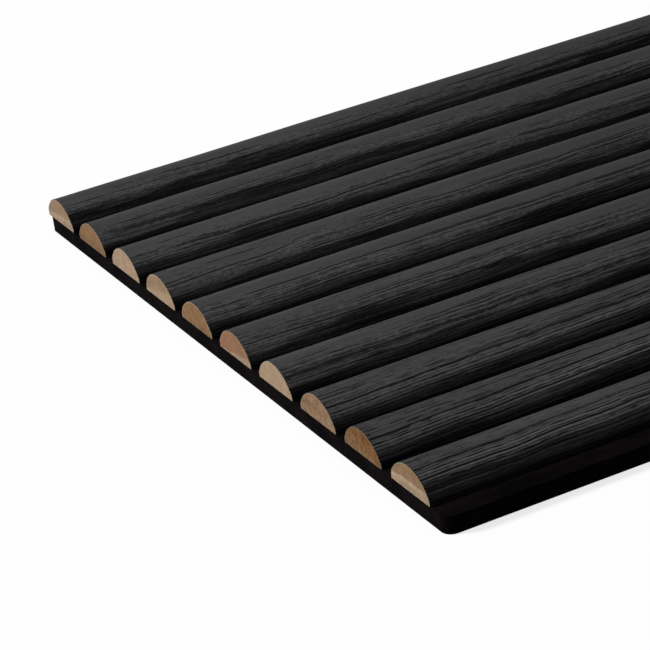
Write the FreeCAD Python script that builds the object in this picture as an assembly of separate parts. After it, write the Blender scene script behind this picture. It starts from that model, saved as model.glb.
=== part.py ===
"""Acoustic slat wall panel: half-round veneered slats bonded to a sheet of black felt.

The panel lies on its back. +Z points out of the slatted face, +X runs along the slats and
+Y runs across them. The origin is the middle of the back, on the felt's wall face.

On the -Y side the felt runs out past the first slat as a lip. On the +Y side the last slat
stands out past the felt, so the next panel's lip slides under it and the slats keep their
spacing across the seam.
"""

import FreeCAD, Part
import math
import os

from FreeCAD import Vector

# Driving dimensions, in millimetres
panel_length = 2400.0      # along the slats
slat_count = 10
slat_width = 32.0          # outside the veneer
slat_height = 12.0         # from the felt to the crown, outside the veneer
slat_spacing = 8.0         # felt showing between two slats
side_height = 2.2          # straight side below the crown's arc, before its shoulder is rounded
shoulder_radius = 2.0      # rounds the bend from the straight side into the crown
veneer_thickness = 0.6
felt_thickness = 8.0
seam_overhang = 4.0        # how far the last slat stands out past the felt
lip_corner_radius = 5.0    # rounded corners at both ends of the felt lip

# Sizes that follow from them
slat_pitch = slat_width + slat_spacing
module_width = slat_count * slat_pitch          # felt width, and the spacing of panels on a wall
lip_width = slat_spacing + seam_overhang        # felt showing beyond the first slat
total_width = module_width + seam_overhang
crown_rise = slat_height - side_height
crown_radius = ((slat_width / 2) ** 2 + crown_rise ** 2) / (2 * crown_rise)

end_x = -panel_length / 2
lip_edge_y = -total_width / 2
first_slat_y = lip_edge_y + lip_width + slat_width / 2

# Two points nearer than this are the same point
same_place = 1e-6


def slat_centre(index):
    """Y of a slat's middle, counted from the lip side."""
    return first_slat_y + index * slat_pitch


def dome_edges(centre_y, inset):
    """Edges over a slat's section at its near end, from one foot to the other.

    Two straight sides lead through rounded shoulders into one arc. The inset moves the
    whole line in from the slat's outside, which keeps the arcs' centres where they are.
    """
    foot_y = slat_width / 2 - inset
    crown_centre_z = slat_height - crown_radius
    shoulder_y = slat_width / 2 - shoulder_radius
    shoulder_z = crown_centre_z + math.sqrt((crown_radius - shoulder_radius) ** 2 - shoulder_y ** 2)
    # Angle of the line through both arcs' centres, where the shoulder runs into the crown
    blend = math.atan2(shoulder_z - crown_centre_z, shoulder_y)

    def at(side, y, z):
        return Vector(end_x, centre_y + side * y, felt_thickness + z)

    def on_shoulder(side, angle):
        reach = shoulder_radius - inset
        return at(side, shoulder_y + reach * math.cos(angle), shoulder_z + reach * math.sin(angle))

    def on_crown(side, angle):
        reach = crown_radius - inset
        return at(side, reach * math.cos(angle), crown_centre_z + reach * math.sin(angle))

    def side_edge(side):
        return Part.LineSegment(at(side, foot_y, 0), at(side, foot_y, shoulder_z))

    def shoulder_edge(side):
        return Part.Arc(at(side, foot_y, shoulder_z), on_shoulder(side, blend / 2), on_crown(side, blend))

    crown_edge = Part.Arc(on_crown(-1, blend), on_crown(1, math.pi / 2), on_crown(1, blend))
    curves = (side_edge(-1), shoulder_edge(-1), crown_edge, shoulder_edge(1), side_edge(1))
    return [curve.toShape() for curve in curves]


def foot_point(centre_y, side, inset):
    """Where the section's side meets the felt."""
    return Vector(end_x, centre_y + side * (slat_width / 2 - inset), felt_thickness)


def along_slat(edges):
    """The closed section drawn by the edges, run along the panel's whole length."""
    wire = Part.Wire(Part.__sortEdges__(edges))
    return Part.Face(wire).extrude(Vector(panel_length, 0, 0))


def slat_core(index):
    """The wooden body of a slat: a half-round bar with a flat foot on the felt."""
    y = slat_centre(index)
    foot = Part.makeLine(foot_point(y, -1, veneer_thickness), foot_point(y, 1, veneer_thickness))
    return along_slat(dome_edges(y, veneer_thickness) + [foot])


def slat_veneer(index):
    """The stained veneer wrapped over a core, from the felt on one side to the felt on the other."""
    y = slat_centre(index)
    rims = [
        Part.makeLine(foot_point(y, side, 0), foot_point(y, side, veneer_thickness))
        for side in (-1, 1)
    ]
    return along_slat(dome_edges(y, 0) + dome_edges(y, veneer_thickness) + rims)


def felt_backing():
    """One sheet of felt, square under the overhanging slat and rounded at the lip's corners."""
    sheet = Part.makeBox(
        panel_length, module_width, felt_thickness, Vector(end_x, lip_edge_y, 0)
    )
    lip_corners = [
        edge
        for edge in sheet.Edges
        if all(abs(vertex.Y - lip_edge_y) < same_place for vertex in edge.Vertexes)
        and abs(edge.Vertexes[0].Z - edge.Vertexes[1].Z) > same_place
    ]
    return sheet.makeFillet(lip_corner_radius, lip_corners)


def main():
    pieces = {"felt_backing": felt_backing()}
    for index in range(slat_count):
        number = f"{index + 1:02d}"
        pieces[f"slat_core_{number}"] = slat_core(index)
        pieces[f"slat_veneer_{number}"] = slat_veneer(index)
    os.makedirs("parts", exist_ok=True)
    for name, shape in pieces.items():
        shape.exportStep(os.path.join("parts", f"{name}.step"))


main()
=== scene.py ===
"""Acoustic slat wall panel: stained veneers, raw wood cores and felt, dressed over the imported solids.

The panel lies on its back. +X runs along the slats, +Y runs across them and +Z points out of the
slatted face. Slat 01 is the one beside the felt's lip, on the -Y side.
"""

import math
from collections import namedtuple

import bmesh
import bpy
from bpy.props import FloatProperty, FloatVectorProperty, IntProperty, PointerProperty
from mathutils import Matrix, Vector


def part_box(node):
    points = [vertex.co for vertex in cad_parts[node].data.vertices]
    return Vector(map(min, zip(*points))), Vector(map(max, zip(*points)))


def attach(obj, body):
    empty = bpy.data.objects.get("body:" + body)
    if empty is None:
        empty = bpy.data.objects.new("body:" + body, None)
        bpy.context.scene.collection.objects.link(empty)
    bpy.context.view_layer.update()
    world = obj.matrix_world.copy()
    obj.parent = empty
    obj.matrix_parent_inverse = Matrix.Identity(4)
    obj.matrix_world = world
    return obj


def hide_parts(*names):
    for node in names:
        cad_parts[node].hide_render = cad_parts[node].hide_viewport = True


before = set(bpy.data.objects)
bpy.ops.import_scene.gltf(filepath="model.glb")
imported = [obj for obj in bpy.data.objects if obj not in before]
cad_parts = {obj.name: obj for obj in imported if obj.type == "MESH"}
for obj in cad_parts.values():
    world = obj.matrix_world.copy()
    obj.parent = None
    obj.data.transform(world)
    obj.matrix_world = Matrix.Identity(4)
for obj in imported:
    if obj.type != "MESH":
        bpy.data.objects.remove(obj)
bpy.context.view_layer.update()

bl_info = {
    "name": "Acoustic slat panel",
    "version": (1, 0, 0),
    "blender": (4, 5, 0),
    "location": "View3D > Sidebar > Slat Panel",
    "description": "Models the panel's stained veneers, wood cores and felt, and sets its stage",
    "category": "Mesh",
}

MM = 0.001

# What the solids give: the felt, the first slat, the slats' numbers and the panel's length
felt_low, felt_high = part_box("felt_backing")
skin_low, skin_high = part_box("slat_veneer_01")
core_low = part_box("slat_core_01")[0]
second_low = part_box("slat_veneer_02")[0]
slat_numbers = sorted(name[-2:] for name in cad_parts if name.startswith("slat_core_"))
first_slat_y = (skin_low.y + skin_high.y) / 2
along_panel = (felt_high.x - felt_low.x, 0, 0)

# Two points nearer than this are at the same place
SAME_PLACE = 0.002 * MM

# Points nearer than this to a cutting plane are taken to be on it
CUT_THRESHOLD = SAME_PLACE / 10

# Flat steps in each rounded bend, and the bevel profile that makes it an arc
SHOULDER_SEGMENTS = 3
LIP_CORNER_SEGMENTS = 8
FELT_EDGE_SEGMENTS = 2
ROUND_PROFILE = 0.5

# Faces that meet at less than this angle are shaded as one surface, in degrees
SLAT_SMOOTH_ANGLE = 40
FELT_SMOOTH_ANGLE = 60

# How much light each surface throws straight back, as the shader's specular level
VENEER_SHEEN = 0.008
CORE_SHEEN = 0.06
FELT_SHEEN = 0.015

# How one slat's cut end looks: its upper and lower wood, how far up the one gives way to the other
# in millimetres, how soft that line is, how it leans in degrees, how much paler the wood is along
# it, how mottled the wood is, and how pale the veneer's cut edge is around it
Board = namedtuple("Board", "upper lower split softness lean streak mottle rim")
BOARDS = {
    "01": Board("brown", "blond", 4.8, 0.2, 2, 0.20, 0.6, 0.75),
    "02": Board("umber", "hazel", 2.8, 2.6, -10, 0.0, 1.2, 0.45),
    "03": Board("brown", "tan", 2.0, 2.5, 16, 0.0, 1.0, 0.75),
    "04": Board("pale", "pale", 9.0, 4.0, 10, 0.0, 0.4, 1.05),
    "05": Board("russet", "blond", 1.8, 0.5, 8, 0.0, 0.6, 0.75),
    "06": Board("chestnut", "hazel", 1.6, 1.6, 6, 0.0, 0.7, 0.90),
    "07": Board("tan", "pale", 4.2, 1.6, 12, 0.05, 0.5, 1.10),
    "08": Board("pale", "pale", 5.0, 3.0, 0, 0.0, 0.5, 1.05),
    "09": Board("chestnut", "hazel", 3.2, 1.6, 0, 0.0, 0.5, 0.75),
    "10": Board("tan", "blond", 4.2, 0.4, 6, 0.20, 0.5, 0.95),
}


def length(name, description, default):
    return FloatProperty(name=name, description=description, default=default, unit="LENGTH", precision=5)


def colour(name, description, default):
    return FloatVectorProperty(
        name=name, description=description, default=default, subtype="COLOR", size=3, min=0.0, max=1.0
    )


class SlatPanelSizes(bpy.types.PropertyGroup):
    """Sizes of the slats and the felt"""

    slat_width: length("Slat width", "Across a slat, outside its veneer", skin_high.y - skin_low.y)
    slat_height: length("Slat height", "From the felt to the crown", skin_high.z - felt_high.z)
    slat_pitch: length("Slat pitch", "From one slat's middle to the next", second_low.y - skin_low.y)
    veneer_thickness: length("Veneer thickness", "Wall of the stained skin", core_low.y - skin_low.y)
    side_height: length("Side height", "Straight side below the crown's arc", 2.2 * MM)
    shoulder_radius: length("Shoulder radius", "Rounds the bend from side to crown", 2.0 * MM)
    lip_corner_radius: length("Lip corner radius", "Rounded corners of the felt's lip", 5.0 * MM)
    felt_edge: length("Felt edge", "Softness of the felt's cut edges", 0.15 * MM)
    crown_points: IntProperty(
        name="Crown points",
        description="Points on the crown's full circle",
        default=260,
        min=40,
        max=400,
    )
    skin_cuts: IntProperty(
        name="Skin cuts",
        description="Cuts along a slat's stained skin, and again along each length between",
        default=20,
        min=1,
        max=100,
    )


class VeneerLook(bpy.types.PropertyGroup):
    """Look of the black-stained, open-pored skin"""

    stain: colour("Stain", "Flat wood between the grooves", (0.071, 0.071, 0.071))
    groove: colour("Groove", "Stain gathered in grooves and pores", (0.008, 0.008, 0.008))
    raw_edge: colour("Raw edge", "Unstained wood where the skin is cut", (0.30, 0.225, 0.155))
    swell_depth: length("Swell depth", "How far the surface waves", 0.22 * MM)
    ridge_depth: length("Ridge depth", "Depth between the fine ridges", 0.06 * MM)
    groove_depth: length("Groove depth", "Depth of the long grooves", 0.11 * MM)
    pore_depth: length("Pore depth", "Depth of the fine pores", 0.25 * MM)


class CoreLook(bpy.types.PropertyGroup):
    """Look of the raw wood at a slat's cut end"""

    pale: colour("Pale wood", "Lightest sapwood", (0.315, 0.222, 0.145))
    blond: colour("Blond wood", "Greyer sapwood", (0.278, 0.200, 0.134))
    tan: colour("Tan wood", "Middle tone", (0.250, 0.164, 0.101))
    brown: colour("Brown wood", "Heartwood", (0.214, 0.132, 0.075))
    chestnut: colour("Chestnut wood", "Warmer heartwood", (0.204, 0.115, 0.057))
    russet: colour("Russet wood", "Reddish heartwood", (0.232, 0.122, 0.069))
    hazel: colour("Hazel wood", "Dark and greyer", (0.162, 0.098, 0.050))
    umber: colour("Umber wood", "Darkest heartwood", (0.152, 0.074, 0.029))


class FeltLook(bpy.types.PropertyGroup):
    """Look of the needled felt"""

    fibre: colour("Fibre", "Black polyester fibre", (0.0027, 0.0018, 0.0022))
    lint: colour("Lint", "Paler fibre ends", (0.0078, 0.0054, 0.0064))
    unevenness: length("Unevenness", "How far the sheet dips", 0.10 * MM)


class StageLook(bpy.types.PropertyGroup):
    """Floor, light and camera"""

    floor: colour("Floor", "Pale floor as the camera sees it", (1.0, 1.0, 1.0))
    bounce: colour("Bounce", "Floor as it lights the panel", (0.22, 0.22, 0.22))
    key: FloatProperty(name="Key", description="Soft light from behind and left", default=4.2, min=0.0)
    top: FloatProperty(name="Top", description="Soft light from above", default=0.10, min=0.0)
    ambient: FloatProperty(name="Ambient", description="Even light all round", default=0.12, min=0.0)
    glow: FloatProperty(
        name="Glow", description="Share of the floor's white that no shadow takes", default=0.78, min=0.0
    )
    lens: FloatProperty(name="Lens", description="Focal length", default=168.74, unit="CAMERA")


class SlatPanelSettings(bpy.types.PropertyGroup):
    """Everything a user would change"""

    sizes: PointerProperty(type=SlatPanelSizes)
    veneer: PointerProperty(type=VeneerLook)
    core: PointerProperty(type=CoreLook)
    felt: PointerProperty(type=FeltLook)
    stage: PointerProperty(type=StageLook)


# Modelling helpers


def select_none():
    bpy.ops.object.select_all(action="DESELECT")


def select_only(piece):
    select_none()
    piece.select_set(True)
    bpy.context.view_layer.objects.active = piece


def edit(piece):
    select_only(piece)
    bpy.ops.object.mode_set(mode="EDIT")


def leave_edit():
    bpy.ops.object.mode_set(mode="OBJECT")


def select_mesh():
    """In edit mode, selects the whole mesh."""
    bpy.ops.mesh.select_all(action="SELECT")


def extrude_mesh(step):
    """In edit mode, extrudes the whole mesh by the step and turns its faces outwards."""
    select_mesh()
    bpy.ops.mesh.extrude_region_move(TRANSFORM_OT_translate={"value": step})
    select_mesh()
    bpy.ops.mesh.normals_make_consistent(inside=False)


def round_off(kind, reach, segments):
    """In edit mode, turns the selected vertices or edges into a bend that starts at the reach."""
    bpy.ops.mesh.bevel(
        affect=kind, offset_type="OFFSET", offset=reach, segments=segments, profile=ROUND_PROFILE
    )


def select_where(piece, kind, test):
    """In edit mode, selects the vertices or edges that pass the test, and nothing else."""
    bpy.ops.mesh.select_mode(type=kind)
    bpy.ops.mesh.select_all(action="DESELECT")
    mesh = bmesh.from_edit_mesh(piece.data)
    items = {"VERT": mesh.verts, "EDGE": mesh.edges}[kind]
    chosen = [item for item in items if test(item)]
    if not chosen:
        raise RuntimeError(f"{piece.name}: nothing to select")
    for item in chosen:
        item.select_set(True)
    mesh.select_flush_mode()
    bmesh.update_edit_mesh(piece.data)


def at_height(height):
    return lambda vertex: abs(vertex.co.z - height) < SAME_PLACE


def apply_place(piece):
    """Moves the piece's place into its mesh."""
    select_only(piece)
    bpy.ops.object.transform_apply(location=True, rotation=True, scale=True)


def copy_along_y(piece, distance):
    """A copy of the piece with a mesh of its own, moved across the panel."""
    select_only(piece)
    bpy.ops.object.duplicate(linked=False)
    twin = bpy.context.object
    bpy.ops.transform.translate(value=(0, distance, 0))
    apply_place(twin)
    return twin


def one_on_each_slat(first, pitch):
    """The first slat's piece and a copy of it on every other slat, in the slats' order."""
    copies = [copy_along_y(first, index * pitch) for index in range(1, len(slat_numbers))]
    return [first, *copies]


def apply_nodes(piece, tree, inputs):
    """Runs a geometry node tree on the piece, with its own inputs by name, and applies it."""
    select_only(piece)
    bpy.ops.object.modifier_add(type="NODES")
    modifier = piece.modifiers[-1]
    modifier.node_group = tree
    for name, value in inputs.items():
        modifier[tree.interface.items_tree[name].identifier] = value
    bpy.ops.object.modifier_apply(modifier=modifier.name)


def finish_piece(piece, name, material, node, smooth_angle):
    """Names the piece, shades it, gives it its material and puts it in its solid's place."""
    select_only(piece)
    bpy.ops.object.shade_smooth_by_angle(angle=math.radians(smooth_angle))
    piece.name = name
    piece.data.name = name
    piece.data.materials.clear()
    piece.data.materials.append(material)
    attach(piece, "root")
    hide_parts(node)


# Node helpers


class NodeChain:
    """Adds nodes to a tree. An input takes another node's socket, a number or a vector."""

    def __init__(self, tree):
        self.tree = tree
        self.added = 0

    def add(self, kind, **settings):
        node = self.tree.nodes.new(kind)
        node.location = (200 * (self.added // 6), -180 * (self.added % 6))
        self.added += 1
        for name, value in settings.items():
            setattr(node, name, value)
        return node

    def feed(self, socket, value):
        if isinstance(value, bpy.types.NodeSocket):
            self.tree.links.new(value, socket)
        elif isinstance(value, (tuple, list)) and len(value) == 3 and len(socket.default_value) == 4:
            socket.default_value = (*value, 1.0)
        else:
            socket.default_value = value

    def run(self, node, *values):
        for socket, value in zip(node.inputs, values):
            self.feed(socket, value)
        return node.outputs[0]

    def math(self, operation, *values):
        return self.run(self.add("ShaderNodeMath", operation=operation), *values)

    def vector(self, operation, *values):
        return self.run(self.add("ShaderNodeVectorMath", operation=operation), *values)

    def noise(self, place, scale, detail=0.0, roughness=0.5):
        """Noise whose patches are one over scale long on each axis, in metres. Returns the node."""
        node = self.add("ShaderNodeTexNoise")
        self.feed(node.inputs["Vector"], self.vector("MULTIPLY", place, scale))
        node.inputs["Scale"].default_value = 1.0
        node.inputs["Detail"].default_value = detail
        node.inputs["Roughness"].default_value = roughness
        return node

    def level(self, place, scale, detail=0.0, roughness=0.5):
        """The same noise as one number from 0 to 1."""
        node = self.noise(place, scale, detail, roughness)
        return next(socket for socket in node.outputs if socket.type == "VALUE")

    def join(self, x, y, z):
        return self.run(self.add("ShaderNodeCombineXYZ"), x, y, z)

    def split(self, vector):
        node = self.add("ShaderNodeSeparateXYZ")
        self.feed(node.inputs[0], vector)
        return tuple(node.outputs)

    def sway(self, place, scale, reach):
        """A slow noise about zero, up to about half the reach each way."""
        return self.math("MULTIPLY", self.math("SUBTRACT", self.level(place, scale, 1.0), 0.5), reach)

    def drift(self, place, scale, reach):
        """The place, moved about by a slow noise by up to about half the reach on each axis."""
        node = self.noise(place, scale, 1.0)
        tint = next(socket for socket in node.outputs if socket.type == "RGBA")
        offset = self.vector("SUBTRACT", tint, (0.5, 0.5, 0.5))
        return self.vector("ADD", place, self.vector("MULTIPLY", offset, reach))

    def ease(self, value, low, high, start=0.0, end=1.0):
        """Smooth step from start to end as the value goes from low to high."""
        node = self.add("ShaderNodeMapRange", interpolation_type="SMOOTHSTEP", clamp=True)
        return self.run(node, value, low, high, start, end)

    def ramp(self, value, low, high, start, end):
        """Straight ramp from start to end as the value goes from low to high."""
        return self.run(self.add("ShaderNodeMapRange", clamp=True), value, low, high, start, end)

    def mix(self, factor, first, second):
        node = self.add("ShaderNodeMix", data_type="RGBA", clamp_factor=True)
        colours = [socket for socket in node.inputs if socket.type == "RGBA"]
        self.feed(node.inputs[0], factor)
        self.feed(colours[0], first)
        self.feed(colours[1], second)
        return next(socket for socket in node.outputs if socket.type == "RGBA")

    def shaded(self, tone, shade):
        """The tone times one number."""
        return self.vector("MULTIPLY", tone, self.join(shade, shade, shade))


def empty_chain(owner):
    """A chain in the cleared node tree of a material or a world."""
    owner.use_nodes = True
    owner.node_tree.nodes.clear()
    return NodeChain(owner.node_tree)


# Relief of the open-pored skin and the stain gathered in it
Grain = namedtuple("Grain", "swell ridge valley groove dent pore")

# A set of lines along the grain: from one line to the next, the valley's width and the length of a
# run, all in metres, and how much of the lines is there, from 0 to 1
LineSet = namedtuple("LineSet", "spacing width run share")
GROOVES = LineSet(2.7 * MM, 1.4 * MM, 45 * MM, 0.60)
SEAMS = LineSet(6.3 * MM, 1.9 * MM, 130 * MM, 0.60)
PORES = LineSet(1.5 * MM, 1.0 * MM, 5 * MM, 0.48)

# How the grain strays to the side: the noise's scale along, across and from slat to slat, and the
# reach in metres
Stray = namedtuple("Stray", "scale reach")
BEND = Stray((4.0, 8.0, 7.3), 10.0 * MM)
WIGGLE = Stray((30.0, 25.0, 6.7), 2.4 * MM)
TREMBLE = Stray((160.0, 80.0, 8.9), 0.6 * MM)

# How one line strays from its middle, as a share of the spacing
LINE_STRAY = Stray((6.0, 1.0, 3.1), 0.5)

# Steps through the noise from line to line, so that neighbours stray and break in their own way
STRAY_STEP = 5.1
BREAK_STEP = 3.7

# How far each slat's grain is moved across from the last one's, so that no two are alike
OWN_SHIFT = 2.13 * MM

# From the crown across a slat: where the calmer crown ends and where the busier flank begins
CROWN_END = 1.0 * MM
FLANK_START = 8.0 * MM


def grain_lines(chain, along, across, leaf, patch, lines):
    """Broken lines along the grain: the valley of each, and the stain gathered in it, from 0 to 1.

    The patch adds to the lines' own share, and takes from it where it is below 0.
    """
    count = chain.math("DIVIDE", across, lines.spacing)
    number = chain.math("FLOOR", count)
    lane = chain.join(along, chain.math("MULTIPLY", number, STRAY_STEP), leaf)
    aside = chain.sway(lane, *LINE_STRAY)
    from_middle = chain.math("SUBTRACT", chain.math("FRACT", count), chain.math("ADD", aside, 0.5))
    off_middle = chain.math("ABSOLUTE", from_middle)
    half = lines.width / lines.spacing / 2
    valley = chain.ease(off_middle, half, half * 0.15)
    pace = chain.ease(leaf, 0.0, 6.0, 1.0 / lines.run, 2.0 / lines.run)
    paced = chain.math("MULTIPLY", along, pace)
    spot = chain.join(paced, chain.math("MULTIPLY", number, BREAK_STEP), leaf)
    there = chain.math("ADD", chain.level(spot, (1.0, 1.0, 5.3), 1.0), patch)
    # A line shows where the noise is above this
    least = 0.68 - 0.36 * lines.share
    narrow = chain.ease(there, least, least + 0.25, 1.5, 1.0)
    line = chain.ease(chain.math("MULTIPLY", off_middle, narrow), half * 0.56, half * 0.40)
    shown = chain.ease(there, least - 0.05, least + 0.05)
    return chain.math("MULTIPLY", valley, shown), chain.math("MULTIPLY", line, shown)


def wood_grain(chain, sheet):
    """Relief and stain of the open-pored skin at a place on its flat sheet, each from 0 to 1.

    The place is along the slat, across it over the crown, and the slat's number. The mesh and
    the material call this alike, so the relief and the stain lie on each other.
    """
    along, across, leaf = chain.split(sheet)
    off_crown = chain.math("ABSOLUTE", across)
    calm = chain.ease(leaf, 0.0, 4.0, -0.12, -0.17)
    groove_flank = chain.ease(off_crown, CROWN_END, FLANK_START, -0.17, 0.12)
    pore_flank = chain.ease(off_crown, CROWN_END, FLANK_START, calm, 0.12)
    plain = chain.ease(leaf, 0.0, 6.0, 0.14, -0.07)
    bold = chain.ease(leaf, 0.0, 6.0, 1.0, 0.80)
    filled = chain.ease(off_crown, 12.0 * MM, 15.5 * MM, 1.0, 0.60)
    bold = chain.math("MULTIPLY", bold, filled)
    own = chain.math("MULTIPLY", leaf, OWN_SHIFT)
    strays = [chain.sway(sheet, *stray) for stray in (BEND, WIGGLE, TREMBLE)]
    for shift in (own, *strays):
        across = chain.math("ADD", across, shift)
    grown = chain.join(along, across, leaf)
    swell = chain.ease(chain.level(grown, (6.0, 80.0, 5.9)), 0.25, 0.75)
    ridge = chain.ease(chain.level(grown, (10.0, 430.0, 4.7), 1.0), 0.25, 0.75)
    patch = chain.math("ADD", chain.sway(grown, (11.0, 90.0, 6.1), 0.5), plain)
    faintest = chain.ease(leaf, 1.0, 4.0, 0.35, 0.60)
    bead = chain.ease(chain.level(grown, (130.0, 600.0, 8.3)), 0.40, 0.54, faintest, 1.0)
    grooved = chain.math("ADD", patch, groove_flank)
    pored = chain.math("ADD", patch, pore_flank)
    coarse = chain.math("MULTIPLY", across, chain.ease(leaf, 2.0, 7.0, 1.0, 0.68))
    valley, groove = grain_lines(chain, along, coarse, leaf, grooved, GROOVES)
    furrow, seam = grain_lines(chain, along, coarse, leaf, grooved, SEAMS)
    dent, pore = grain_lines(chain, along, across, leaf, pored, PORES)
    beads = chain.math("MULTIPLY", bead, bold)
    beaded = chain.math("MULTIPLY", groove, beads)
    groove = chain.math("MAXIMUM", beaded, chain.math("MULTIPLY", seam, bold))
    pore = chain.math("MULTIPLY", pore, beads)
    valley = chain.math("MULTIPLY", chain.math("MAXIMUM", valley, furrow), bold)
    dent = chain.math("MULTIPLY", dent, bold)
    return Grain(swell, ridge, valley, groove, dent, pore)


def new_relief(name):
    """A geometry node tree with an empty chain, its start and its end."""
    tree = bpy.data.node_groups.new(name, "GeometryNodeTree")
    tree.interface.new_socket(name="Geometry", in_out="INPUT", socket_type="NodeSocketGeometry")
    tree.interface.new_socket(name="Geometry", in_out="OUTPUT", socket_type="NodeSocketGeometry")
    chain = NodeChain(tree)
    return tree, chain, chain.add("NodeGroupInput"), chain.add("NodeGroupOutput")


def sink_points(chain, geometry, depth, end):
    """Moves the points inwards along their normals by the depth, and ends the tree there."""
    inwards = chain.add("ShaderNodeVectorMath", operation="SCALE")
    chain.feed(inwards.inputs[0], chain.add("GeometryNodeInputNormal").outputs[0])
    chain.feed(inwards.inputs["Scale"], chain.math("MULTIPLY", depth, -1.0))
    sink = chain.add("GeometryNodeSetPosition")
    chain.feed(sink.inputs["Geometry"], geometry)
    chain.feed(sink.inputs["Offset"], inwards.outputs[0])
    chain.feed(end.inputs[0], sink.outputs["Geometry"])


def new_material(name):
    """A material with an empty chain, its shader and the piece's own coordinates."""
    material = bpy.data.materials.new(name)
    chain = empty_chain(material)
    output = chain.add("ShaderNodeOutputMaterial")
    shader = chain.add("ShaderNodeBsdfPrincipled")
    chain.feed(output.inputs["Surface"], shader.outputs["BSDF"])
    place = chain.add("ShaderNodeTexCoord").outputs["Object"]
    return material, chain, shader, place


def bump(chain, shader, height, distance, strength=1.0):
    node = chain.add("ShaderNodeBump")
    node.inputs["Strength"].default_value = strength
    node.inputs["Distance"].default_value = distance
    chain.feed(node.inputs["Height"], height)
    chain.feed(shader.inputs["Normal"], node.outputs["Normal"])


# Veneers

# The vertex group on the stained outside, and what the relief keeps on the points for the material
OUTER_SKIN = "outer_skin"
STAIN = "stain"
SHEET = "sheet"
RIM = "rim"

# The relief's own input
RIM_TONE = "Rim tone"

# Across the crown: where the flank on the lip's side gives way to the other one
FLANKS_MEET = (-1.0 * MM, 1.0 * MM)

# Between these heights a painted shade darkens the colour towards the crown
CROWN_HEIGHTS = (18.0 * MM, 19.95 * MM)

# How much of the groove's colour shows in a groove or pore
GATHERED = 0.95


class SectionLine:
    """One line of a slat's section, set in from the slat's outside by the inset."""

    def __init__(self, sizes, inset):
        half_width = sizes.slat_width / 2
        rise = sizes.slat_height - sizes.side_height
        crown_radius = (half_width ** 2 + rise ** 2) / (2 * rise)
        self.radius = crown_radius - inset
        self.half_width = half_width - inset
        self.centre_z = felt_high.z + sizes.slat_height - crown_radius
        drop = math.sqrt(self.radius ** 2 - self.half_width ** 2)
        self.bend_z = self.centre_z + drop
        turn = math.atan2(drop, self.half_width)
        self.shoulder_reach = (sizes.shoulder_radius - inset) * math.tan(turn / 2)


def draw_section(sizes, inset):
    """Draws a section line at the first slat's near end: side, shoulder, crown, shoulder, side."""
    line = SectionLine(sizes, inset)
    select_none()
    bpy.ops.mesh.primitive_circle_add(
        vertices=sizes.crown_points,
        radius=line.radius,
        location=(felt_low.x, first_slat_y, line.centre_z),
        rotation=(0, math.radians(90), 0),
    )
    piece = bpy.context.object
    apply_place(piece)
    edit(piece)
    select_mesh()
    bpy.ops.mesh.bisect(
        plane_co=(0, 0, line.bend_z), plane_no=(0, 0, 1), clear_inner=True, threshold=CUT_THRESHOLD
    )
    select_where(piece, "VERT", at_height(line.bend_z))
    down = (0, 0, felt_high.z - line.bend_z)
    bpy.ops.mesh.extrude_vertices_move(TRANSFORM_OT_translate={"value": down})
    select_where(piece, "VERT", at_height(line.bend_z))
    round_off("VERTICES", line.shoulder_reach, SHOULDER_SEGMENTS)
    leave_edit()
    return piece


def runs_along(edge):
    step = edge.verts[1].co - edge.verts[0].co
    return abs(step.x) > max(abs(step.y), abs(step.z))


def cut_along_skin(piece, skin, cuts):
    """In edit mode, cuts the edges that run along the outer skin."""
    weights = bmesh.from_edit_mesh(piece.data).verts.layers.deform.active

    def skin_edge(edge):
        return runs_along(edge) and all(skin.index in vertex[weights] for vertex in edge.verts)

    select_where(piece, "EDGE", skin_edge)
    bpy.ops.mesh.subdivide(number_cuts=cuts, ngon=True)


def model_veneer(sizes):
    """The first slat's skin: two section lines bridged and run along the slat, its outside cut finely."""
    outside = draw_section(sizes, 0.0)
    edit(outside)
    select_mesh()
    bpy.ops.object.vertex_group_assign_new()
    leave_edit()
    group = outside.vertex_groups.active
    group.name = OUTER_SKIN
    inside = draw_section(sizes, sizes.veneer_thickness)
    select_only(outside)
    inside.select_set(True)
    bpy.ops.object.join()
    edit(outside)
    select_mesh()
    bpy.ops.mesh.bridge_edge_loops()
    extrude_mesh(along_panel)
    cut_along_skin(outside, group, sizes.skin_cuts)
    cut_along_skin(outside, group, sizes.skin_cuts)
    leave_edit()
    return outside


def flat_sheet(chain, place, sizes):
    """Where a place on a slat lies on its veneer's flat sheet: along, across over the crown, slat."""
    outside = SectionLine(sizes, 0.0)
    x, y, z = chain.split(place)
    from_first = chain.math("SUBTRACT", y, first_slat_y)
    leaf = chain.math("ROUND", chain.math("DIVIDE", from_first, sizes.slat_pitch))
    sideways = chain.math("SUBTRACT", from_first, chain.math("MULTIPLY", leaf, sizes.slat_pitch))
    angle = chain.math("ARCTAN2", sideways, chain.math("SUBTRACT", z, outside.centre_z))
    return chain.join(x, chain.math("MULTIPLY", angle, outside.radius), leaf)


def store_on_points(chain, geometry, name, kind, value):
    store = chain.add("GeometryNodeStoreNamedAttribute", data_type=kind, domain="POINT")
    store.inputs["Name"].default_value = name
    chain.feed(store.inputs["Geometry"], geometry)
    chain.feed(store.inputs["Value"], value)
    return store.outputs["Geometry"]


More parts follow.
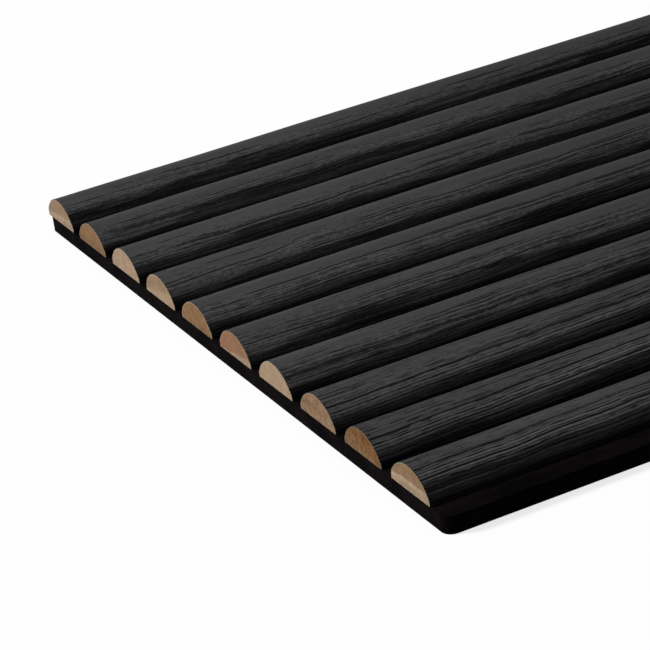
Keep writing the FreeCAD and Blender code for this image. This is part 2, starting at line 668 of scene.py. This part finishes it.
def veneer_relief(sizes, look):
    """Node tree that sinks the grain into the outer skin and keeps what the material reads.

    It keeps how deep the stain reaches, where each point lies on the flat sheet, and how pale the
    cut edge is, which is the tree's own input.
    """
    tree, chain, start, end = new_relief("veneer_relief")
    tree.interface.new_socket(name=RIM_TONE, in_out="INPUT", socket_type="NodeSocketFloat")
    named = chain.add("GeometryNodeInputNamedAttribute", data_type="FLOAT")
    named.inputs["Name"].default_value = OUTER_SKIN
    skin = named.outputs["Attribute"]
    sheet = flat_sheet(chain, chain.add("GeometryNodeInputPosition").outputs[0], sizes)
    grain = wood_grain(chain, sheet)
    depth = chain.math("MULTIPLY", chain.math("SUBTRACT", 1.0, grain.swell), look.swell_depth)
    depth = chain.math("MULTIPLY_ADD", chain.math("SUBTRACT", 1.0, grain.ridge), look.ridge_depth, depth)
    depth = chain.math("MULTIPLY_ADD", grain.valley, look.groove_depth, depth)
    geometry = store_on_points(chain, start.outputs[0], STAIN, "FLOAT", skin)
    geometry = store_on_points(chain, geometry, SHEET, "FLOAT_VECTOR", sheet)
    geometry = store_on_points(chain, geometry, RIM, "FLOAT", start.outputs[RIM_TONE])
    sink_points(chain, geometry, chain.math("MULTIPLY", depth, skin), end)
    return tree


def stain_tint(chain, sheet, fuzz, busy):
    """How light the stain is from place to place, about 1. It varies most where the wood is busy."""
    tone = chain.level(sheet, (14.0, 160.0, 3.7), 3.0, 0.6)
    speck = chain.ease(chain.level(sheet, (330.0, 760.0, 7.7), 1.0), 0.60, 0.70, 0.0, -0.18)
    tint = chain.math("ADD", chain.ease(tone, 0.25, 0.75, -0.18, 0.18), speck)
    tint = chain.math("ADD", chain.ease(fuzz, 0.28, 0.72, -0.22, 0.20), tint)
    return chain.math("MULTIPLY_ADD", tint, busy, 1.0)


def painted_flank_shade(chain, sheet, from_end):
    """Painted shade down the flank: 1 near the crown, and darker lower down the flank, most on the lip's
    side.

    The line where that begins wanders and is ragged. It lies higher on the first slats and lower
    by the cut ends.
    """
    across, leaf = chain.split(sheet)[1:]
    off_crown = chain.math("ABSOLUTE", across)
    wander = chain.sway(sheet, (9.0, 50.0, 6.3), chain.ease(leaf, 0.0, 3.0, 7.0 * MM, 14.0 * MM))
    streaks = chain.join(40.0, chain.ease(leaf, 0.0, 4.0, 900.0, 500.0), 8.3)
    ragged = chain.sway(sheet, streaks, 6.0 * MM)
    raised_on_first_slats = chain.ease(leaf, 0.0, 4.0, 1.4 * MM, 0.3 * MM)
    lowered_at_ends = chain.ease(from_end, 0.0, 120 * MM, -1.3 * MM, 0.0)
    reach = off_crown
    for shift in (wander, ragged, raised_on_first_slats, lowered_at_ends):
        reach = chain.math("ADD", reach, shift)
    # How dark the painted shade gets low on the flank: darker and patchy on the lip's side, milder on the
    # other
    deep = chain.ease(chain.level(sheet, (20.0, 240.0, 5.7), 2.0, 0.6), 0.36, 0.64, 0.22, 0.54)
    darkest_flank_shade = chain.ease(across, *FLANKS_MEET, deep, 0.70)
    flank_shade = chain.ease(reach, 13.0 * MM, 14.6 * MM, 1.0, darkest_flank_shade)
    # Painted shade at the slat's foot, next to the felt
    return chain.math("MULTIPLY", flank_shade, chain.ease(off_crown, 17.4 * MM, 19.2 * MM, 1.0, 0.55))


def raw_edge(chain, place, look):
    """Colour of the unstained wood where the skin is cut, flecked and in the slat's own tone."""
    fleck = chain.level(place, (40.0, 900.0, 900.0), 2.0)
    rim = chain.add("ShaderNodeAttribute", attribute_name=RIM).outputs["Fac"]
    shade = chain.math("MULTIPLY", chain.ease(fleck, 0.35, 0.7, 1.08, 0.72), rim)
    return chain.shaded(tuple(look.raw_edge), shade)


def veneer_material(look):
    """Matt black stain over open-pored wood, with raw wood where the skin is cut through."""
    material, chain, shader, place = new_material("black_stained_veneer")
    sheet = chain.add("ShaderNodeAttribute", attribute_name=SHEET).outputs["Vector"]
    grain = wood_grain(chain, sheet)
    along, across = chain.split(sheet)[:2]
    from_end = chain.math("SUBTRACT", felt_high.x, chain.math("ABSOLUTE", along))
    # Painted light: lighter near the cut ends, darker along the middle of the skin
    painted_end_light = chain.ease(from_end, 50 * MM, 280 * MM, 1.09, 0.80)
    busy = chain.ease(chain.math("ABSOLUTE", across), 3.0 * MM, 11.0 * MM, 0.35, 1.0)
    fuzz = chain.level(sheet, (420.0, 950.0, 4.3), 2.0, 0.6)
    tint = stain_tint(chain, sheet, fuzz, busy)
    # Painted shade down the flank
    flank_shade = painted_flank_shade(chain, sheet, from_end)
    # Painted light on the lip's side, painted shade on the side facing the light and on the crown
    painted_light_by_side = chain.ease(across, *FLANKS_MEET, 1.10, 0.72)
    height = chain.split(place)[2]
    crown = chain.ramp(height, *CROWN_HEIGHTS, painted_light_by_side, 0.62)
    shade = chain.math("MULTIPLY", tint, flank_shade)
    shade = chain.math("MULTIPLY", shade, chain.math("MULTIPLY", crown, painted_end_light))
    dark = chain.math("MULTIPLY", chain.math("MAXIMUM", grain.groove, grain.pore), GATHERED)
    stained = chain.mix(dark, tuple(look.stain), tuple(look.groove))
    shaded = chain.shaded(stained, shade)
    soaked = chain.add("ShaderNodeAttribute", attribute_name=STAIN).outputs["Fac"]
    outside = chain.ease(soaked, 0.68, 0.92)
    chain.feed(shader.inputs["Base Color"], chain.mix(outside, raw_edge(chain, place, look), shaded))
    chain.feed(shader.inputs["Roughness"], chain.ease(dark, 0.0, 1.0, 0.56, 0.80))
    shader.inputs["Specular IOR Level"].default_value = VENEER_SHEEN
    depth = chain.math("MULTIPLY", grain.dent, -0.35)
    depth = chain.math("MULTIPLY_ADD", chain.math("MULTIPLY", fuzz, busy), 0.25, depth)
    bump(chain, shader, depth, look.pore_depth)
    return material


class SlatVeneersAdd(bpy.types.Operator):
    """Model one stained veneer, copy it to every slat and sink each one's own grain into it"""

    bl_idname = "mesh.slat_veneers_add"
    bl_label = "Stained veneers"
    bl_options = {"REGISTER", "UNDO"}

    def execute(self, context):
        settings = context.scene.slat_panel
        material = veneer_material(settings.veneer)
        relief = veneer_relief(settings.sizes, settings.veneer)
        pieces = one_on_each_slat(model_veneer(settings.sizes), settings.sizes.slat_pitch)
        for piece, number in zip(pieces, slat_numbers):
            apply_nodes(piece, relief, {RIM_TONE: BOARDS[number].rim})
            piece.vertex_groups.clear()
            finish_piece(
                piece,
                f"stained_veneer_{number}",
                material,
                f"slat_veneer_{number}",
                SLAT_SMOOTH_ANGLE,
            )
        return {"FINISHED"}


# Cores

# How far below the line between two woods its paler streak runs
STREAK_DROP = 1.3 * MM

# How much lighter and darker a mottle of 1 makes the wood, and what a fleck leaves of its colour
MOTTLE_RANGE = 0.26
FLECK_TINT = (0.62, 0.52, 0.42)


def model_core(sizes):
    """The first slat's bar: the veneer's inner line closed along the felt and run along the slat."""
    piece = draw_section(sizes, sizes.veneer_thickness)
    edit(piece)
    select_where(piece, "VERT", at_height(felt_high.z))
    bpy.ops.mesh.edge_face_add()
    bpy.ops.mesh.select_mode(type="EDGE")
    select_mesh()
    bpy.ops.mesh.edge_face_add()
    extrude_mesh(along_panel)
    leave_edit()
    return piece


def core_material(look, board, number, slat_y):
    """Raw end grain in two tones, mottled and flecked."""
    material, chain, shader, place = new_material(f"raw_wood_core_{number}")
    mapping = chain.add("ShaderNodeMapping")
    mapping.inputs["Location"].default_value = (0.0, -slat_y, -felt_high.z)
    chain.feed(mapping.inputs["Vector"], place)
    local = chain.drift(mapping.outputs["Vector"], (6.0, 160.0, 160.0), (0.0, 2.2 * MM, 2.2 * MM))
    lean = math.radians(board.lean)
    up = (0.0, math.sin(lean), math.cos(lean))
    dot = chain.add("ShaderNodeVectorMath", operation="DOT_PRODUCT")
    chain.feed(dot.inputs[0], local)
    chain.feed(dot.inputs[1], up)
    height = dot.outputs["Value"]
    split = board.split * MM
    softness = board.softness * MM
    upper_part = chain.ease(height, split - softness, split + softness)
    off_streak = chain.math("ABSOLUTE", chain.math("SUBTRACT", height, split - STREAK_DROP))
    streak = chain.ease(off_streak, 0.4 * MM, 1.5 * MM, 1.0 + board.streak, 1.0)
    wood = chain.mix(upper_part, tuple(getattr(look, board.lower)), tuple(getattr(look, board.upper)))
    blotch = chain.level(place, (5.0, 260.0, 260.0), 3.0, 0.6)
    fleck = chain.level(place, (30.0, 800.0, 800.0), 2.0, 0.6)
    mottle = MOTTLE_RANGE * board.mottle
    shade = chain.ease(blotch, 0.3, 0.7, 1.0 + mottle, 1.0 - mottle)
    speck = chain.ease(fleck, 0.54, 0.70, 0.0, 0.9 * board.mottle ** 2)
    shaded = chain.shaded(wood, chain.math("MULTIPLY", shade, streak))
    flecked = chain.vector("MULTIPLY", shaded, FLECK_TINT)
    chain.feed(shader.inputs["Base Color"], chain.mix(speck, shaded, flecked))
    chain.feed(shader.inputs["Roughness"], chain.ease(fleck, 0.3, 0.7, 0.72, 0.90))
    shader.inputs["Specular IOR Level"].default_value = CORE_SHEEN
    bump(chain, shader, fleck, distance=0.10 * MM, strength=0.6)
    return material


class SlatCoresAdd(bpy.types.Operator):
    """Model one raw wood core and copy it to every slat, each from a board of its own"""

    bl_idname = "mesh.slat_cores_add"
    bl_label = "Wood cores"
    bl_options = {"REGISTER", "UNDO"}

    def execute(self, context):
        settings = context.scene.slat_panel
        pieces = one_on_each_slat(model_core(settings.sizes), settings.sizes.slat_pitch)
        for index, (piece, number) in enumerate(zip(pieces, slat_numbers)):
            slat_y = first_slat_y + index * settings.sizes.slat_pitch
            material = core_material(settings.core, BOARDS[number], number, slat_y)
            finish_piece(
                piece,
                f"wood_core_{number}",
                material,
                f"slat_core_{number}",
                SLAT_SMOOTH_ANGLE,
            )
        return {"FINISHED"}


# Felt

# Size of the sheet's faces, and the cuts round its edge between top and bottom
FELT_CELL = 8 * MM
FELT_EDGE_CUTS = 3


def model_felt(sizes):
    """The sheet: a grid with two rounded corners, thickened, with its cut edges softened."""
    size = felt_high - felt_low
    middle = (felt_high + felt_low) / 2
    select_none()
    bpy.ops.mesh.primitive_grid_add(
        x_subdivisions=round(size.x / FELT_CELL),
        y_subdivisions=round(size.y / FELT_CELL),
        size=1.0,
        location=(middle.x, middle.y, felt_low.z),
        scale=(1, 1, 1),
    )
    piece = bpy.context.object
    piece.scale = (size.x, size.y, 1.0)
    apply_place(piece)
    edit(piece)

    def lip_corner(vertex):
        on_lip = abs(vertex.co.y - felt_low.y) < SAME_PLACE
        at_end = abs(abs(vertex.co.x - middle.x) - size.x / 2) < SAME_PLACE
        return on_lip and at_end

    select_where(piece, "VERT", lip_corner)
    round_off("VERTICES", sizes.lip_corner_radius, LIP_CORNER_SEGMENTS)
    extrude_mesh((0, 0, size.z))

    def standing(edge):
        return abs(edge.verts[0].co.z - edge.verts[1].co.z) > size.z / 2

    select_where(piece, "EDGE", standing)
    bpy.ops.mesh.subdivide(number_cuts=FELT_EDGE_CUTS)

    def rim(edge):
        level = [abs(face.normal.z) > 0.5 for face in edge.link_faces]
        return len(level) == 2 and level[0] != level[1]

    select_where(piece, "EDGE", rim)
    round_off("EDGES", sizes.felt_edge, FELT_EDGE_SEGMENTS)
    leave_edit()
    return piece


def felt_relief(look):
    """Node tree that dips the sheet's surface here and there, always inwards."""
    tree, chain, start, end = new_relief("felt_relief")
    place = chain.add("GeometryNodeInputPosition").outputs[0]
    dip = chain.level(place, (60.0, 60.0, 60.0), 2.0, 0.6)
    sink_points(chain, start.outputs[0], chain.math("MULTIPLY", dip, look.unevenness), end)
    return tree


def felt_material(look):
    """Matted black fibre with paler fibre ends."""
    material, chain, shader, place = new_material("black_felt")
    bent = chain.drift(place, (300.0, 300.0, 300.0), (4 * MM, 4 * MM, 4 * MM))
    fibre = chain.level(bent, (1500.0, 1500.0, 1500.0), 3.0, 0.65)
    clump = chain.level(place, (120.0, 120.0, 120.0), 3.0, 0.6)
    lint = chain.math("MULTIPLY", chain.ease(fibre, 0.45, 0.75), chain.ease(clump, 0.3, 0.7, 0.35, 1.0))
    matted = chain.mix(lint, tuple(look.fibre), tuple(look.lint))
    rubbed = chain.ease(chain.level(place, (26.0, 70.0, 70.0), 3.0, 0.6), 0.36, 0.60, 0.30, 1.15)
    chain.feed(shader.inputs["Base Color"], chain.shaded(matted, rubbed))
    chain.feed(shader.inputs["Roughness"], chain.ease(fibre, 0.3, 0.7, 0.98, 0.88))
    shader.inputs["Specular IOR Level"].default_value = FELT_SHEEN
    bump(chain, shader, fibre, distance=0.35 * MM, strength=0.9)
    return material


class FeltBackingAdd(bpy.types.Operator):
    """Model the felt sheet that carries the slats"""

    bl_idname = "mesh.felt_backing_add"
    bl_label = "Felt backing"
    bl_options = {"REGISTER", "UNDO"}

    def execute(self, context):
        settings = context.scene.slat_panel
        piece = model_felt(settings.sizes)
        apply_nodes(piece, felt_relief(settings.felt), {})
        material = felt_material(settings.felt)
        finish_piece(piece, "felt_sheet", material, "felt_backing", FELT_SMOOTH_ANGLE)
        return {"FINISHED"}


# Stage

WHITE = (1.0, 1.0, 1.0, 1.0)
FLOOR_SIZE = 120.0
FLOOR_GAP = 0.2 * MM

CAMERA_PLACE = (-1.63394, -1.12451, 0.55882)
CAMERA_RIGHT = (0.88385, -0.44756, -0.13602)
CAMERA_FORWARD = (0.35972, 0.83620, -0.41398)
SENSOR_WIDTH = 36.0
CLIP_START = 0.05
CLIP_END = 200.0

# Which way each light comes from, and how many degrees of the sky it fills
KEY_FROM = (-0.72, 0.343, 0.603)
KEY_SPREAD = 14.0
TOP_FROM = (-0.1, 0.1, 1.0)
TOP_SPREAD = 110.0
SUN_DISTANCE = 3.0


def seen_directly(chain):
    """1 for a ray that shows the background: straight, reflected or refracted."""
    path = chain.add("ShaderNodeLightPath")
    shown = chain.math("MAXIMUM", path.outputs["Is Camera Ray"], path.outputs["Is Glossy Ray"])
    return chain.math("MAXIMUM", shown, path.outputs["Is Transmission Ray"])


def floor_material(look):
    """White to the camera, with the panel's shadow on it, and darker to the light it sends back."""
    material = bpy.data.materials.new("pale_floor")
    chain = empty_chain(material)
    output = chain.add("ShaderNodeOutputMaterial")
    seen = seen_directly(chain)
    matt = chain.add("ShaderNodeBsdfDiffuse")
    chain.feed(matt.inputs["Color"], chain.mix(seen, tuple(look.bounce), tuple(look.floor)))
    glow = chain.add("ShaderNodeEmission")
    glow.inputs["Color"].default_value = WHITE
    glow.inputs["Strength"].default_value = 1.0
    both = chain.add("ShaderNodeMixShader")
    chain.feed(both.inputs[0], chain.math("MULTIPLY", seen, look.glow))
    chain.feed(both.inputs[1], matt.outputs[0])
    chain.feed(both.inputs[2], glow.outputs[0])
    chain.feed(output.inputs["Surface"], both.outputs[0])
    return material


def set_world(look):
    """White where it is seen, and an even light on the panel."""
    world = bpy.data.worlds.new("studio")
    bpy.context.scene.world = world
    chain = empty_chain(world)
    output = chain.add("ShaderNodeOutputWorld")
    sky = chain.add("ShaderNodeBackground")
    sky.inputs["Color"].default_value = WHITE
    strength = chain.ease(seen_directly(chain), 0.0, 1.0, look.ambient, 1.0)
    chain.feed(sky.inputs["Strength"], strength)
    chain.feed(output.inputs["Surface"], sky.outputs[0])


def add_sun(name, source, strength, spread):
    turn = Vector(source).to_track_quat("Z", "Y").to_euler()
    bpy.ops.object.light_add(type="SUN", location=Vector(source) * SUN_DISTANCE, rotation=turn)
    sun = bpy.context.object
    sun.name = name
    sun.data.energy = strength
    sun.data.angle = math.radians(spread)


def add_camera(look):
    right = Vector(CAMERA_RIGHT).normalized()
    forward = Vector(CAMERA_FORWARD).normalized()
    bpy.ops.object.camera_add(location=CAMERA_PLACE)
    camera = bpy.context.object
    camera.name = "photo_camera"
    camera.matrix_world.col[0].xyz = right
    camera.matrix_world.col[1].xyz = right.cross(forward)
    camera.matrix_world.col[2].xyz = -forward
    camera.data.sensor_width = SENSOR_WIDTH
    camera.data.lens = look.lens
    camera.data.clip_start = CLIP_START
    camera.data.clip_end = CLIP_END
    bpy.context.scene.camera = camera


class SlatPanelStage(bpy.types.Operator):
    """Set the floor, the light and the camera"""

    bl_idname = "scene.slat_panel_stage"
    bl_label = "Stage"
    bl_options = {"REGISTER", "UNDO"}

    def execute(self, context):
        look = context.scene.slat_panel.stage
        select_none()
        bpy.ops.mesh.primitive_plane_add(size=FLOOR_SIZE, location=(0, 0, felt_low.z - FLOOR_GAP))
        floor = context.object
        floor.name = "studio_floor"
        floor.data.materials.append(floor_material(look))
        set_world(look)
        add_sun("key_light", KEY_FROM, look.key, KEY_SPREAD)
        add_sun("top_light", TOP_FROM, look.top, TOP_SPREAD)
        add_camera(look)
        context.scene.view_settings.view_transform = "Standard"
        return {"FINISHED"}


class SlatPanelSidebar(bpy.types.Panel):
    """Lists the panel's sizes, looks and pieces"""

    bl_idname = "VIEW3D_PT_slat_panel"
    bl_label = "Acoustic slat panel"
    bl_space_type = "VIEW_3D"
    bl_region_type = "UI"
    bl_category = "Slat Panel"

    def draw(self, context):
        layout = self.layout
        settings = context.scene.slat_panel
        for operator in operators:
            layout.operator(operator.bl_idname)
        for part in ("sizes", "veneer", "core", "felt", "stage"):
            box = layout.box()
            group = getattr(settings, part)
            box.label(text=part.capitalize())
            for name in group.__annotations__:
                box.prop(group, name)


operators = (SlatVeneersAdd, SlatCoresAdd, FeltBackingAdd, SlatPanelStage)
property_groups = (SlatPanelSizes, VeneerLook, CoreLook, FeltLook, StageLook, SlatPanelSettings)
classes = (*property_groups, *operators, SlatPanelSidebar)


def register():
    for each in classes:
        bpy.utils.register_class(each)
    bpy.types.Scene.slat_panel = PointerProperty(type=SlatPanelSettings)


def unregister():
    del bpy.types.Scene.slat_panel
    for each in reversed(classes):
        bpy.utils.unregister_class(each)


def main():
    register()
    bpy.ops.mesh.felt_backing_add()
    bpy.ops.mesh.slat_cores_add()
    bpy.ops.mesh.slat_veneers_add()
    bpy.ops.scene.slat_panel_stage()
    bpy.context.view_layer.update()


if __name__ == "__main__":
    main()
